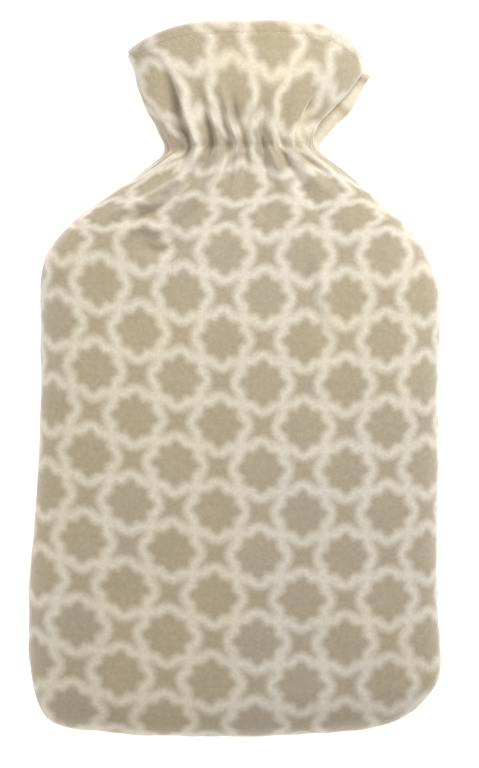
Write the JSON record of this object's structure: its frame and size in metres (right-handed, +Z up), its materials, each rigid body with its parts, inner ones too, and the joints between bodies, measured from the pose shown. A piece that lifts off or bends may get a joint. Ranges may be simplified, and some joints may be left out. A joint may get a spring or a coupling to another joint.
{
  "type": "hot water bottle cover",
  "caption": "Soft fleece cover for a hot water bottle, lying on its back: a flat rounded pouch with a gathered neck and a frilled open mouth.",
  "frame": {"origin": "centre of the cover's box, at its underside, where it lies on the surface", "axes": "+Z up out of the front panel, +Y along the length towards the frilled mouth, +X across the width"},
  "size_m": [0.2156, 0.3748, 0.04],
  "materials": {
    "printed_fleece": "matt, softly brushed"
  },
  "bodies": {
    "root": {"front_panel": "printed_fleece", "back_panel": "printed_fleece"}
  },
  "joints": []
}
